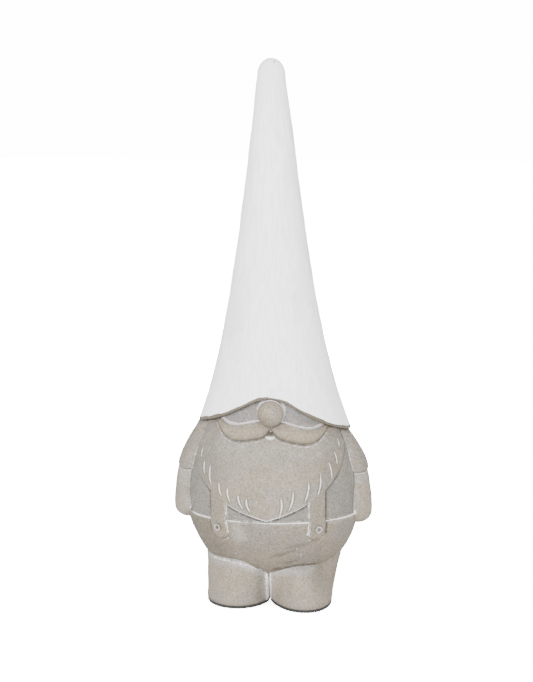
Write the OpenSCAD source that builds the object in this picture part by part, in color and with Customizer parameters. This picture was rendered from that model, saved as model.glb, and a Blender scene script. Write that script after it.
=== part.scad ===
// Garden gnome in cast cement: a round body in trousers and braces under a tall white hat.
// Millimetres, +Z up. The gnome faces -Y, so its own left side is +X.
// Beard, arms and braces are all laid on one body surface, given as an angle round
// from the front, a height, and a distance outside that surface.

/* [Overall] */
// Height from the ground to the tip of the hat
gnome_h = 500; // [470:10:530]
// Width of the bare belly at its widest
belly_w = 157; // [154:1:160]
// Height of the widest level of the belly
belly_z = 108; // [106:1:110]
// Depth of the front half of the body against its half width
front_ratio = 0.835; // [0.80:0.005:0.86]
// Depth of the back half of the body against its half width
back_ratio = 0.78; // [0.75:0.005:0.82]
// Thickness of the cast walls of the body
body_wall = 8; // [6.5:0.5:10]

/* [Hat] */
// Width of the hat across the brim
brim_w = 143; // [141:1:146]
// Height of the brim at the sides
brim_z = 164.5; // [164:0.5:166]
// Rise of the brim over the nose
brim_rise = 30.3; // [29.8:0.5:31.8]
// How much lower the brim hangs on the gnome's left
brim_skew = 6.4; // [0:0.2:7]
// Radius of the blunt tip
tip_r = 12.7; // [11:0.1:14]
// Sideways lean of the tip, towards the gnome's right
hat_lean = 4.5; // [0:0.5:8]
// Thickness of the hat wall
hat_wall = 6; // [5:0.5:6.5]
// Diameter of the steel rod cast into the tip
rod_d = 6; // [5:0.5:8]

/* [Face] */
// Radius of the round nose
nose_r = 11.9; // [11:0.1:12.1]
// Height of the centre of the nose
nose_z = 182; // [181:0.5:182.5]
// How far the moustache tips stand apart, in degrees round the face
moustache_span = 105; // [98:1:108]
// How much lower the moustache hangs on the gnome's left
moustache_tilt = 4.6; // [0:0.2:6]
// Stand-off of the moustache at its fullest
moustache_t = 8.5; // [7:0.5:10]
// Height of the tip of the beard
beard_tip_z = 85.5; // [85:0.5:88]
// Thickness of the beard at its fullest
beard_t = 6.5; // [5:0.5:7.5]

/* [Clothes] */
// Height of the waist edge of the trousers
waist_z = 84.5; // [83:0.5:85]
// How far the waist edge stands out from the shirt
waist_step = 2; // [1:0.5:2.5]
// Width of a brace
brace_w = 14.5; // [12:0.5:16]
// Thickness of a brace
brace_t = 2.6; // [2:0.2:3.4]
// Radius of a brace button
button_r = 3.8; // [3:0.1:4.6]

/* [Arms] */
// Height of the sleeve hem
hem_z = 126; // [122:1:130]
// Height of the lowest point of the hands
hand_z = 73.8; // [72:0.2:75]
// Stand-off of the forearm at the hand
hand_t = 14.8; // [13:0.1:16]
// Front to back angle that an arm covers
arm_span = 34; // [30:1:38]
// How much lower the gnome's left arm hangs
arm_skew = 3; // [0:0.2:4]

/* [Legs] */
// Width of the gnome's right foot
right_foot_w = 60.8; // [58:0.2:62]
// Width of its left foot
left_foot_w = 60; // [57:0.2:62]
// Width of its left leg at the thigh
left_thigh_w = 67; // [60:0.5:68]
// Height of the crease between the belly and the legs
crease_z = 44.3; // [43:0.1:45]
// How far the gnome's left foot stands ahead of its right foot
left_stride = 9.6; // [0:0.2:11]
// Angle by which the left foot is turned out
left_toe_out = 18; // [0:1:20]
// Thickness of the foam pads under the feet
pad_t = 2; // [1:0.5:3]

/* [Hidden] */

// Gap left for the bond between two cast pieces
bond = 0.4;
// Points round a full ring
columns = 48;

// The body
body_y = 3.5;
belly_bottom_z = 14;
belly_fullness = 2.5;
belly_shift = 1.2;
crown_w = 88;
crown_z = 230;
spigot_h = 10;
spigot_inset = 4;

// The hat
tip_dome_h = 15;
hat_depth_ratio = 0.92;
cavity_top_z = gnome_h - 95;
rod_l = 75;
lip_round = 1.4;

// The relief
relief_step_z = waist_z + 2;
beard_half_span = 69;
beard_shift = -2;
beard_edge_t = 2.6;
beard_seat_t = 3;
front_brace_angle = 34.5;
rear_brace_angle = 150;
brace_end_z = 67;
button_z = 77.5;
arm_angle = 92;
hand_round = 10;
foot_shift = -1.5;
foot_front = 45.4;
foot_back = 40;
foot_overlap = 1.8;
right_toe_out = 3;

cement = [0.63, 0.61, 0.58];
worn_cement = [0.69, 0.66, 0.62];
dark_cement = [0.52, 0.51, 0.49];
white_paint = [0.95, 0.95, 0.94];
bare_steel = [0.70, 0.70, 0.72];
black_foam = [0.08, 0.08, 0.08];

// ---- numbers ----

function smooth(x) = let (t = max(0, min(1, x))) t * t * (3 - 2 * t);
function mix(a, b, t) = a + (b - a) * t;

// ---- the body surface ----

// 0 at the underside, 1 at the belly line: how far the lower half has opened out
function opening(z, off) =
    sqrt(max(0, 1 - pow((belly_z - z) / (belly_z - belly_bottom_z + off), belly_fullness)));
function taper(z) = (1 + cos(180 * min(1, (z - belly_z) / (crown_z - belly_z)))) / 2;
// Distance from the body's axis at height z, along an axis that is ratio of the half width
function body_reach(z, off, ratio) = z < belly_z
    ? (ratio * belly_w / 2 + off) * opening(z, off)
    : ratio * (crown_w + (belly_w - crown_w) * taper(z)) / 2 + off;
// The belly sits a touch to one side of the hands and the hat
function body_x(z) = belly_shift * (1 - smooth((z - 60) / 40));
function depth_ratio(th) = cos(th) > 0 ? front_ratio : back_ratio;
function on_body(th, z, off = 0) =
    [body_x(z) + body_reach(z, off, 1) * sin(th),
        body_y - body_reach(z, off, depth_ratio(th)) * cos(th), z];
// Height of the underside of the belly over a point on the ground
function underside(p, off) =
    let (half = belly_w / 2,
         ratio = p.y < body_y ? front_ratio : back_ratio,
         r2 = pow((p.x - belly_shift) / (half + off), 2) + pow((p.y - body_y) / (half * ratio + off), 2))
    belly_z - (belly_z - belly_bottom_z + off) * pow(max(0, 1 - r2), 1 / belly_fullness);
// The trousers flare out to the waist edge, and pieces that cross the edge step out with them
function trouser_flare(z) = waist_step * smooth((z - 40) / (waist_z - 40));
function seat(z) = bond + waist_step * (1 - smooth((z - relief_step_z) / 8));

// ---- the hat surface ----

function brim_curve(th) = let (c = max(0, cos(th))) mix(pow(c, 1.7), pow(c, 8), 0.46);
function brim_height(th) = brim_z + brim_rise * brim_curve(th) - brim_skew / 2 * sin(th);
// 0 where the tip dome starts, 1 at the brim
function hat_fall(z) = (gnome_h - tip_dome_h - z) / (gnome_h - tip_dome_h - brim_z);
function hat_half(z) = z > gnome_h - tip_dome_h
    ? tip_r * sqrt(max(0, 1 - pow((z - gnome_h + tip_dome_h) / tip_dome_h, 2)))
    : let (u = hat_fall(z)) mix(tip_r, brim_w / 2, 0.67 * u + 0.33 * pow(u, 4.4));
function hat_axis(z) = -hat_lean * (z - brim_z) / (gnome_h - brim_z);
function on_hat(th, z, off = 0) =
    let (half = hat_half(z) + off,
         ratio = 1 - (1 - hat_depth_ratio) * max(0, min(1, hat_fall(z))))
    [hat_axis(z) + half * sin(th), body_y - half * ratio * cos(th), z];

// ---- building blocks ----

// A skin over a row of rings with the same number of points, an even number.
// A loop joins the last ring to the first; otherwise both ends are closed.
module skin(rings, loop = false) {
    n = len(rings[0]);
    m = len(rings);
    sides = [for (r = [0 : loop ? m - 1 : m - 2], i = [0 : n - 1])
        let (a = r * n, b = (r + 1) % m * n, j = (i + 1) % n)
        each [[a + i, b + i, b + j], [a + i, b + j, a + j]]];
    first = [for (i = [0 : n / 2 - 2])
        each [[i, i + 1, n - 2 - i], [i, n - 2 - i, n - 1 - i]]];
    last = [for (f = first) [for (k = [2 : -1 : 0]) f[k] + (m - 1) * n]];
    polyhedron(
        points = [for (ring = rings) each ring],
        faces = loop ? sides : concat(sides, first, last),
        convexity = 6
    );
}

function turn() = [for (i = [0 : columns - 1]) 360 * i / columns];
function body_ring(z, off) = [for (th = turn()) on_body(th, z, off)];

// A slab on the body from angle to angle. z_at(th, v) is the height of row v,
// out_at and in_at(th, z, v) are the stand-off of its face and of its back.
module patch(angles, rows, z_at, out_at, in_at) {
    skin([for (th = angles) concat(
        [for (v = rows)
            let (z = z_at(th, v)) on_body(th, z, in_at(th, z, v))],
        [for (k = [len(rows) - 1 : -1 : 0])
            let (v = rows[k], z = z_at(th, v)) on_body(th, z, out_at(th, z, v))]
    )]);
}

// Angles across a rounded strip, closer together towards its edges
function rounded_angles(mid, half, step) = [for (a = [-90 : step : 90]) mid + half * sin(a)];
// How far across such a strip an angle is: 1 in the middle, 0 at the edges
function crown_of(th, mid, half) = sqrt(max(0, 1 - pow((th - mid) / half, 2)));

// Puts a piece on the body with its own +Z pointing straight out
module stand_on_body(th, z, off) {
    across = on_body(th + 1, z, off) - on_body(th - 1, z, off);
    along = on_body(th, z + 1, off) - on_body(th, z - 1, off);
    out = cross(across, along);
    translate(on_body(th, z, off))
        rotate([0, acos(out.z / norm(out)), atan2(out.y, out.x)])
            children();
}

// ---- hat ----

// The hollow hat: a conical cavity, a bore for the rod in the solid tip, and a rounded lip
module hat_shell() {
    bore = [for (z = [gnome_h - 18, cavity_top_z])
        [for (th = turn()) [hat_axis(z) + (rod_d / 2 + 0.15) * sin(th),
            body_y - (rod_d / 2 + 0.15) * cos(th), z]]];
    inside = [for (v = [1 : -0.0625 : 0])
        [for (th = turn()) on_hat(th, mix(brim_height(th) + lip_round, cavity_top_z, v), -hat_wall)]];
    lip = [for (inset = [hat_wall - lip_round, lip_round])
        [for (th = turn()) on_hat(th, brim_height(th), -inset)]];
    outside = [for (v = [0 : 0.05 : 0.951])
        [for (th = turn()) on_hat(th, mix(brim_height(th) + lip_round, gnome_h, v))]];
    tip = [for (a = [30, 50, 68, 84])
        [for (th = turn()) on_hat(th, gnome_h - tip_dome_h * (1 - sin(a)))]];
    color(white_paint) skin(concat(bore, inside, lip, outside, tip));
}

// The rod that keeps the slender tip from snapping off
module hat_rod() {
    rod_z = cavity_top_z - 1;
    tilt = atan(hat_lean / (gnome_h - brim_z));
    color(bare_steel)
        translate([hat_axis(rod_z), body_y, rod_z])
            rotate([0, -tilt, 0])
                cylinder(d = rod_d, h = rod_l, $fn = 48);
}

// The bed of mortar that holds the hat on the crown of the head
module hat_mortar_ring() {
    levels = [crown_z - 18, crown_z - 11, crown_z - 4];
    color(dark_cement) skin(concat(
        [for (z = levels) [for (th = turn()) on_hat(th, z, -hat_wall - bond)]],
        [for (k = [2 : -1 : 0]) body_ring(levels[k], bond)]
    ), loop = true);
}

// ---- body ----

// Head and shirt in one hollow casting, with a spigot that drops into the trousers
module torso_shell() {
    shoulder_z = waist_z + bond;
    outside = [for (v = [0 : 0.0625 : 1]) body_ring(mix(shoulder_z, crown_z, v), 0)];
    inside = [for (v = [1 : -0.0625 : 0])
        body_ring(mix(waist_z - spigot_h + bond, crown_z, v), -body_wall)];
    spigot = [for (z = [waist_z - spigot_h + bond, shoulder_z]) body_ring(z, -spigot_inset)];
    color(cement) skin(concat(outside, inside, spigot), loop = true);
}

// The bowl of the belly up to the waist edge, with a rebate for the torso's spigot
module trousers_shell() {
    belly_h = belly_z - belly_bottom_z;
    waist_angle = acos((belly_z - waist_z) / belly_h);
    angles = [for (v = [0.08 : 0.092 : 1]) waist_angle * v];
    outside = [for (a = angles)
        let (z = belly_z - belly_h * cos(a)) body_ring(z, trouser_flare(z))];
    rebate = [for (p = [[0, 0.8 - spigot_inset + bond], [spigot_h, bond - spigot_inset],
            [spigot_h, -body_wall - bond]])
        body_ring(waist_z - p[0], p[1])];
    inner_top = acos((belly_z - waist_z + spigot_h + 3) / (belly_h - body_wall));
    inside = [for (v = [1 : -0.115 : 0.07])
        body_ring(belly_z - (belly_h - body_wall) * cos(inner_top * v), -body_wall)];
    edge = [body_ring(waist_z - 1, waist_step), body_ring(waist_z, waist_step - 0.9)];
    color(cement) skin(concat(outside, edge, rebate, inside));
}

// ---- legs ----

// side is 1 for the gnome's left and -1 for its right
function foot_w(side) = side > 0 ? left_foot_w : right_foot_w;
function thigh_w(side) = side > 0 ? left_thigh_w : right_foot_w;
function leg_mid(side) = [foot_shift + side * (foot_w(side) / 2 - foot_overlap), 0];
// Outline of a foot: an ellipse turned a little, and cut flat where the two feet meet
function foot_outline(side, a) =
    let (mid = leg_mid(side),
         reach = cos(a) > 0 ? foot_front + (side > 0 ? left_stride : 0) : foot_back,
         turned = tan(side > 0 ? left_toe_out : right_toe_out),
         x = foot_w(side) / 2 * sin(a))
    [foot_shift + side * max(bond, side * (mid.x + x - foot_shift)),
        -reach * cos(a) - turned * side * x];
// Height of the crease, at an angle round the belly
function crease(side, th) =
    let (s = min(abs(th), 180 - abs(th)),
         low = crease_z - (side > 0 ? 9.3 : 13.3),
         rise = side > 0 ? 3.8 : 13.3,
         span = side > 0 ? 28 : 36,
         flank = side > 0 ? 14 : 1)
    low + rise * sin(90 * min(1, s / span)) + flank * smooth((s - 48) / 40);
// Outline of a leg where it meets the underside of the belly
function thigh_outline(side, a) =
    let (half = thigh_w(side) / 2,
         square = side * sin(a) < 0 ? 8 : 2.35,
         swell = pow(pow(abs(sin(a)), square) + pow(abs(cos(a)), square), -1 / square),
         x = foot_shift + side * (half + bond) + half * swell * sin(a),
         y = -(cos(a) > 0 ? 54 : 42) * swell * cos(a),
         ratio = y < body_y ? front_ratio : back_ratio,
         mid = [belly_shift, body_y],
         d = [(x - mid.x) / (belly_w / 2), (y - mid.y) / (belly_w / 2 * ratio)],
         fall = (belly_z - crease(side, atan2(d.x, -d.y))) / (belly_z - belly_bottom_z),
         r_max = sqrt(1 - pow(fall, belly_fullness)))
    mid + ([x, y] - mid) * min(1, r_max / norm(d));
// The wall stays upright at the front, and fills the valley between the legs
function wall_lean(side, a) =
    mix(side * sin(a) < 0 ? 0.55 : side > 0 ? 1.6 : 3, 4.8, pow(cos(a), 4));
function leg_point(side, a, v) =
    let (top = thigh_outline(side, a),
         p = mix(foot_outline(side, a), top, pow(v, wall_lean(side, a))))
    [p.x, p.y, mix(pad_t, underside(top, 2 * bond), v)];
function leg_top_point(side, a, shrink) =
    let (p = mix(leg_mid(side), thigh_outline(side, a), shrink))
    [p.x, p.y, underside(p, 2 * bond)];

// A solid leg, stood on the ground and hollowed on top to the shape of the belly
module leg(side) {
    angles = [for (i = [0 : 47]) 7.5 * i];
    color(cement) skin(concat(
        [for (v = [0, 0.2, 0.4, 0.6, 0.75, 0.86, 0.94, 1])
            [for (a = angles) leg_point(side, a, v)]],
        [for (s = [0.8, 0.55, 0.3, 0.08]) [for (a = angles) leg_top_point(side, a, s)]]
    ));
}

// The foam pad under the whole sole, set in a little from its edge
module foot_pad(side) {
    color(black_foam)
        linear_extrude(pad_t)
            polygon([for (i = [0 : 47]) mix(leg_mid(side), foot_outline(side, 7.5 * i), 0.985)]);
}

// ---- arms ----

function arm_drop(side) = -side * arm_skew / 2;
function arm_mid(side) = side * arm_angle;

// The upper arm, from under the brim to the hem
module sleeve(side) {
    mid = arm_mid(side);
    half = arm_span / 2 + 1;
    bottom = hem_z + arm_drop(side);
    color(cement) patch(
        rounded_angles(mid, half, 15),
        [0, 0.04, 0.25, 0.5, 0.75, 0.9, 1],
        function(th, v) mix(bottom, brim_height(th) - 0.6, v),
        function(th, z, v) let (full = mix(12, 6 - side, v * v * 0.6 + v * 0.4) - (v == 0 ? 1 : 0))
            bond + 0.6 + (full - 0.9) * crown_of(th, mid, half),
        function(th, z, v) bond
    );
}

// The bare forearm and the rounded hand below the hem
module forearm(side) {
    mid = arm_mid(side);
    half = arm_span / 2;
    top = hem_z + arm_drop(side) - bond;
    bottom = hand_z + arm_drop(side);
    color(worn_cement) patch(
        rounded_angles(mid, half, 15),
        [0, 0.01, 0.04, 0.09, 0.16, 0.25, 0.45, 0.7, 1],
        function(th, v) mix(bottom + hand_round * (1 - crown_of(th, mid, half * 1.02)), top, v),
        function(th, z, v) let (full = mix(hand_t, 11.2, max(0, v - 0.25) / 0.75),
                near = min(1, (z - bottom) / hand_round),
                fist = sqrt(max(0, 1 - pow(1 - near, 2))))
            seat(z) + 0.5 + (full - seat(z) - 0.5) * fist * crown_of(th, mid, half),
        function(th, z, v) seat(z)
    );
}

// ---- face ----

// Centre line and half height of the moustache at an angle from the middle of the face
function lobe_across(th) = min(1, abs(th) / (moustache_span / 2));
function lobe_root(t) = pow(max(0, 1 - t / 0.15), 2);
function lobe_mid(th) =
    let (t = lobe_across(th))
    166.9 - 4.6 * pow(sin(180 * pow(t, 1.25)), 2) + 4.3 * pow(t, 4) + 2.5 * lobe_root(t)
        - moustache_tilt / 2 * th / (moustache_span / 2);
function lobe_half(th) =
    let (t = lobe_across(th))
    0.9 + 6.8 * pow(sin(180 * pow(t, 0.6)), 0.85) - 1.4 * lobe_root(t);
// The moustache is hollowed on top to fit round the nose
function nose_floor(th) =
    let (x = body_reach(nose_z, 4, 1) * sin(th))
    abs(x) < nose_r ? nose_z - sqrt(nose_r * nose_r - x * x) - bond : gnome_h;
function lobe_height(th, v) = v > 0
    ? mix(lobe_mid(th), max(lobe_mid(th) + 0.4, min(lobe_mid(th) + lobe_half(th), nose_floor(th))), v)
    : lobe_mid(th) + lobe_half(th) * v;

function lower_face_edge(th) =
    abs(th) < moustache_span / 2 + 3
        ? lobe_mid(th) - 0.6
        : min(mix(lobe_mid(th), 169, 0.5), brim_height(th) - 1.5);

// Lower edge of the beard, a rounded fan that ends in a low tip
function beard_edge(th) =
    let (t = abs(th - beard_shift) / (beard_half_span - beard_shift))
    beard_tip_z + 64 * (0.42 * t + 0.58 * pow(t, 2.4)) + 2.2 * sin(th);

module beard() {
    color(cement) patch(
        [for (a = [-beard_half_span : 4.6 : beard_half_span]) a],
        [0, 0.03, 0.1, 0.2, 0.35, 0.5, 0.65, 0.8, 0.9, 1],
        function(th, v) mix(beard_edge(th), lower_face_edge(th), v),
        function(th, z, v)
            let (edge = beard_edge(th),
                 rise = smooth((z - edge) / 36) * (1 - smooth((v - 0.55) / 0.4)))
            seat(z) + (v == 0 ? 1.2 : beard_edge_t)
                + (beard_t - beard_edge_t) * rise * (1 - pow(th / 75, 2)),
        function(th, z, v) seat(z)
    );
}

// One half of the moustache, with a rebate behind it for the top of the beard
module moustache(side) {
    inner = 0.8;
    outer = moustache_span / 2;
    across = [for (a = [0 : 9 : 90]) mix(inner, outer, sin(a) * 0.5 + a / 180)];
    angles = side > 0 ? across : [for (k = [len(across) - 1 : -1 : 0]) -across[k]];
    color(worn_cement) patch(
        angles,
        [for (a = [-90 : 22.5 : 90]) sin(a)],
        function(th, v) lobe_height(th, v),
        function(th, z, v)
            let (full = moustache_t * pow(lobe_half(th) / 7.6, 0.7))
            bond + beard_seat_t + 0.4 + max(0, full - beard_seat_t) * sqrt(1 - v * v),
        function(th, z, v) v <= 0.01 ? bond + beard_seat_t : bond
    );
}

// A ball, cut flat where it beds on the face
module nose() {
    proud = nose_r - 1.6;
    color(worn_cement)
        stand_on_body(0, nose_z - 3, bond)
            difference() {
                translate([0, 0, proud]) sphere(r = nose_r, $fn = 64);
                translate([-nose_r, -nose_r, -2 * nose_r]) cube(2 * nose_r);
            }
}

// The small bump of the lip that shows between the halves of the moustache
module lower_lip() {
    lip_r = 4.4;
    color(worn_cement)
        stand_on_body(0, 161.4, 2 * bond + beard_seat_t)
            difference() {
                translate([0, 0, -2]) sphere(r = lip_r, $fn = 48);
                translate([-lip_r, -lip_r, -2 * lip_r]) cube(2 * lip_r);
            }
}

// ---- braces ----

function brace_half_angle() = brace_w / 2 / (belly_w / 2 * front_ratio) * 57.3 * 0.92;

// A strap lying on shirt and trousers, from its rounded end up to top_at(th)
module brace(mid, top_at) {
    half = brace_half_angle();
    color(cement) patch(
        rounded_angles(mid, half, 22.5),
        [0, 0.05, 0.12, 0.2, 0.3, 0.42, 0.55, 0.7, 0.85, 1],
        function(th, v)
            mix(brace_end_z + brace_w / 2 * (1 - crown_of(th, mid, half * 1.02)), top_at(th), v),
        function(th, z, v) seat(z) + brace_t - (v == 0 ? 0.8 : 0)
            - 0.8 * (1 - min(1, crown_of(th, mid, half) * 1.6)),
        function(th, z, v) seat(z)
    );
}

module front_brace(side) {
    brace(side * front_brace_angle + beard_shift, function(th) beard_edge(th) - 0.4);
}

module rear_brace(side) {
    brace(side * rear_brace_angle, function(th) brim_z + 6);
}

// A turned button: a raised ring round a dimple
module button(th) {
    color(worn_cement)
        stand_on_body(th, button_z, bond + waist_step + brace_t + 0.1)
            rotate_extrude($fn = 48)
                polygon([[0, 0], [button_r, 0], [button_r, 1.2], [button_r - 0.6, 1.8],
                    [button_r - 1.6, 1.8], [button_r - 2.2, 0.9], [0, 0.9]]);
}

hat_shell();
hat_rod();
hat_mortar_ring();
torso_shell();
trousers_shell();
leg(1);  // left_leg
leg(-1);  // right_leg
foot_pad(1);  // left_foot_pad
foot_pad(-1);  // right_foot_pad
sleeve(1);  // left_sleeve
sleeve(-1);  // right_sleeve
forearm(1);  // left_forearm
forearm(-1);  // right_forearm
beard();
moustache(1);  // left_moustache
moustache(-1);  // right_moustache
nose();
lower_lip();
front_brace(1);  // left_front_brace
front_brace(-1);  // right_front_brace
rear_brace(1);  // left_rear_brace
rear_brace(-1);  // right_rear_brace
button(front_brace_angle + beard_shift);  // left_front_button
button(-front_brace_angle + beard_shift);  // right_front_button
button(rear_brace_angle);  // left_rear_button
button(-rear_brace_angle);  // right_rear_button
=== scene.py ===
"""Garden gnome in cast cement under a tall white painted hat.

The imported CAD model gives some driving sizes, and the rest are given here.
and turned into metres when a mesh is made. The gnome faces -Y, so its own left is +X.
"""

import math

import bpy
import numpy as np
from mathutils import Matrix, Vector


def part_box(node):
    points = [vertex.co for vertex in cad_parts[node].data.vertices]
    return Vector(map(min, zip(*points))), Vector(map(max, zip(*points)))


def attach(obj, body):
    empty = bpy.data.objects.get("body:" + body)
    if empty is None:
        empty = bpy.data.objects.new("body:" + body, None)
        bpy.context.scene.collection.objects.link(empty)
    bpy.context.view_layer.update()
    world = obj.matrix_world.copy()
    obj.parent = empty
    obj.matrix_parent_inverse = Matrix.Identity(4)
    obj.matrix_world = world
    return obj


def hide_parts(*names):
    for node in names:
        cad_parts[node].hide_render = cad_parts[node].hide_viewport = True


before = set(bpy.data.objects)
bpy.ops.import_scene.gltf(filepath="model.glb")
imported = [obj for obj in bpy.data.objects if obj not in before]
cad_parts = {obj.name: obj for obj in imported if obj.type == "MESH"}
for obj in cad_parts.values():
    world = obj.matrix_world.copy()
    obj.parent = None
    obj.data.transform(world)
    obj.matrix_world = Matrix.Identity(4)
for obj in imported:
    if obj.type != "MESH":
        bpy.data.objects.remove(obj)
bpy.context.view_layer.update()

MM = 0.001


def node_box(name):
    low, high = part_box(name)
    return np.array(low) / MM, np.array(high) / MM


# ---- sizes: from the frame's boxes, and otherwise the CAD's own dimensions ----

HAT_LOW, HAT_HIGH = node_box("hat_shell")
TORSO_LOW, TORSO_HIGH = node_box("torso_shell")
PAD_H = node_box("left_foot_pad")[1][2]

GNOME_H = HAT_HIGH[2]
BELLY_HALF = (TORSO_HIGH[0] - TORSO_LOW[0]) / 2
BELLY_Z = 108.0
BELLY_BOTTOM = 14.0
BELLY_FULLNESS = 2.5
BELLY_SHIFT = 1.2
FRONT_RATIO = 0.835
BACK_RATIO = 0.78
BODY_Y = TORSO_LOW[1] + FRONT_RATIO * BELLY_HALF
CROWN_HALF = 44.0
CROWN_Z = TORSO_HIGH[2]
WAIST_Z = node_box("trousers_shell")[1][2]
WAIST_STEP = 2.0
WAIST_ROUND = 1.6
FLARE_Z = 40.0
BODY_WALL = 8.0

BRIM_HALF = (HAT_HIGH[0] - HAT_LOW[0]) / 2
BRIM_SKEW = 6.4
BRIM_Z = HAT_LOW[2] + BRIM_SKEW / 2
BRIM_RISE = 30.3
HAT_WALL = 6.0
HAT_LEAN = 4.5
HAT_DEPTH = 0.92
TIP_R = 12.7
TIP_DOME = 15.0
SOLID_TIP_H = 95.0
LIP_ROUND = 1.4

MOUSTACHE_HALF = 52.5
MOUSTACHE_TILT = 4.6
MOUSTACHE_Z = 166.9
MOUSTACHE_T = 8.8
BEARD_HALF = 69.0
BEARD_SHIFT = -2.0
BEARD_TIP_Z = 85.5
BEARD_H = 64.0
BEARD_EDGE_T, BEARD_SWELL = 2.8, 3.8
NOSE_LOW, NOSE_HIGH = node_box("nose")
NOSE_R = (NOSE_HIGH[0] - NOSE_LOW[0]) / 2
NOSE_Z = (NOSE_LOW[2] + NOSE_HIGH[2]) / 2
NOSE_Y = NOSE_LOW[1] + NOSE_R

BRACE_HALF = 6.1
BRACE_T = 2.6
BRACE_END = 67.0
BRACE_ROUND = 7.0
FRONT_BRACE = 34.5
REAR_BRACE = 150.0
BUTTON_Z = 77.5
BUTTON_R = 3.8

ARM_ANGLE = 92.0
ARM_HALF = 17.0
HEM_Z = 126.0
HAND_Z = 73.8
HAND_ROUND = 10.0
HAND_T, WRIST_T = 14.8, 11.4
CUFF_T, SHOULDER_T = 12.6, 6.4
ARM_SKEW = 3.0

LEFT, RIGHT = 1, -1
SIDE_NAME = {LEFT: "left", RIGHT: "right"}
# A distance too far for any painted shade, dirt or lime to reach
FAR = 99.0


# ---- numbers ----


def smooth(x):
    t = np.clip(x, 0.0, 1.0)
    return t * t * (3 - 2 * t)


def mix(a, b, t):
    return a + (b - a) * t


def signed(angle):
    """The same angle, above -180 degrees and up to 180."""
    return 180 - (180 - angle) % 360


def ridge(distance, width):
    """1 on a line, falling to 0 about two widths away."""
    return np.exp(-((distance / width) ** 2))


def rounded(distance, radius):
    """A quarter-round edge: 0 at the edge, 1 once a radius inside it."""
    t = np.clip(distance / radius, 0.0, 1.0)
    return np.sqrt(1 - (1 - t) ** 2)


def lumps(points, size, seed):
    """Smooth seeded unevenness between about -1 and 1, size millimetres from lump to lump."""
    rng = np.random.default_rng(seed)
    total = np.zeros(points.shape[:-1])
    waves = 7
    for _ in range(waves):
        direction = rng.normal(size=3)
        direction *= rng.uniform(0.6, 1.5) * math.tau / size / np.linalg.norm(direction)
        total += np.sin(points @ direction + rng.uniform(0, math.tau))
    return total / math.sqrt(waves)


# ---- the body surface: angle round from the front, height, distance outside ----


def body_reach(z, off, ratio):
    fall = np.clip((BELLY_Z - z) / (BELLY_Z - BELLY_BOTTOM + off), 0.0, 1.0)
    opening = np.sqrt(1 - fall**BELLY_FULLNESS)
    rise = np.clip((z - BELLY_Z) / (CROWN_Z - BELLY_Z), 0.0, 1.0)
    taper = (1 + np.cos(math.pi * rise)) / 2
    lower = (ratio * BELLY_HALF + off) * opening
    upper = ratio * (CROWN_HALF + (BELLY_HALF - CROWN_HALF) * taper) + off
    return np.where(z < BELLY_Z, lower, upper)


def on_body(th, z, off=0.0):
    th, z, off = np.broadcast_arrays(*(np.asarray(v, float) for v in (th, z, off)))
    a = np.radians(th)
    ratio = np.where(np.cos(a) > 0, FRONT_RATIO, BACK_RATIO)
    shift = BELLY_SHIFT * (1 - smooth((z - 60) / 40))
    return np.stack(
        [
            shift + body_reach(z, off, 1.0) * np.sin(a),
            BODY_Y - body_reach(z, off, ratio) * np.cos(a),
            z,
        ],
        axis=-1,
    )


def arc(th_difference, th, z):
    """Millimetres along the body for a difference in angle at height z."""
    a = np.radians(th)
    half = body_reach(z, 0.0, 1.0)
    per_radian = half * np.hypot(np.cos(a), 0.82 * np.sin(a))
    return np.radians(th_difference) * per_radian


def underside(x, y, off=0.0):
    """Height of the underside of the belly over a point on the ground."""
    ratio = np.where(y < BODY_Y, FRONT_RATIO, BACK_RATIO)
    r2 = ((x - BELLY_SHIFT) / (BELLY_HALF + off)) ** 2
    r2 = r2 + ((y - BODY_Y) / (BELLY_HALF * ratio + off)) ** 2
    return BELLY_Z - (BELLY_Z - BELLY_BOTTOM + off) * np.clip(1 - r2, 0, 1) ** (1 / BELLY_FULLNESS)


def trouser_flare(z):
    """How far the trousers stand out from the body: nothing at the crotch, most at the waist."""
    return WAIST_STEP * smooth((z - FLARE_Z) / (WAIST_Z - FLARE_Z))


def seat(z):
    """What a piece stands on: the shirt, or the trousers below the waist edge."""
    return trouser_flare(z) * (1 - smooth((z - WAIST_Z) / 6))


# ---- the hat surface ----


def brim_height(th):
    """The brim rises in a soft arch over the nose, and hangs lower on the gnome's left."""
    a = np.radians(th)
    c = np.maximum(0.0, np.cos(a))
    return BRIM_Z + BRIM_RISE * mix(c**1.7, c**8, 0.46) - BRIM_SKEW / 2 * np.sin(a)


def on_hat(th, z, off=0.0):
    """A slender flared cone with a domed tip, leaning a little."""
    th, z, off = np.broadcast_arrays(*(np.asarray(v, float) for v in (th, z, off)))
    a = np.radians(th)
    fall = np.clip((GNOME_H - TIP_DOME - z) / (GNOME_H - TIP_DOME - BRIM_Z), 0.0, 1.1)
    cone = mix(TIP_R, BRIM_HALF, 0.67 * fall + 0.33 * fall**4.4)
    dome = TIP_R * np.sqrt(np.clip(1 - ((z - GNOME_H + TIP_DOME) / TIP_DOME) ** 2, 0, 1))
    half = np.where(z > GNOME_H - TIP_DOME, dome, cone) + off
    ratio = 1 - (1 - HAT_DEPTH) * np.minimum(fall, 1.0)
    lean = -HAT_LEAN * (z - BRIM_Z) / (GNOME_H - BRIM_Z)
    return np.stack([lean + half * np.sin(a), BODY_Y - half * ratio * np.cos(a), z], axis=-1)


# ---- outlines laid on the body ----


def beard_edge(th):
    t = np.abs(th - BEARD_SHIFT) / (BEARD_HALF - BEARD_SHIFT)
    return BEARD_TIP_Z + BEARD_H * (0.42 * t + 0.58 * t**2.4) + 2.2 * np.sin(np.radians(th))


def lobe_root(t):
    """1 at the inner end of a moustache half, gone a seventh of the way along it."""
    return np.maximum(0.0, 1 - t / 0.15) ** 2


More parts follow.
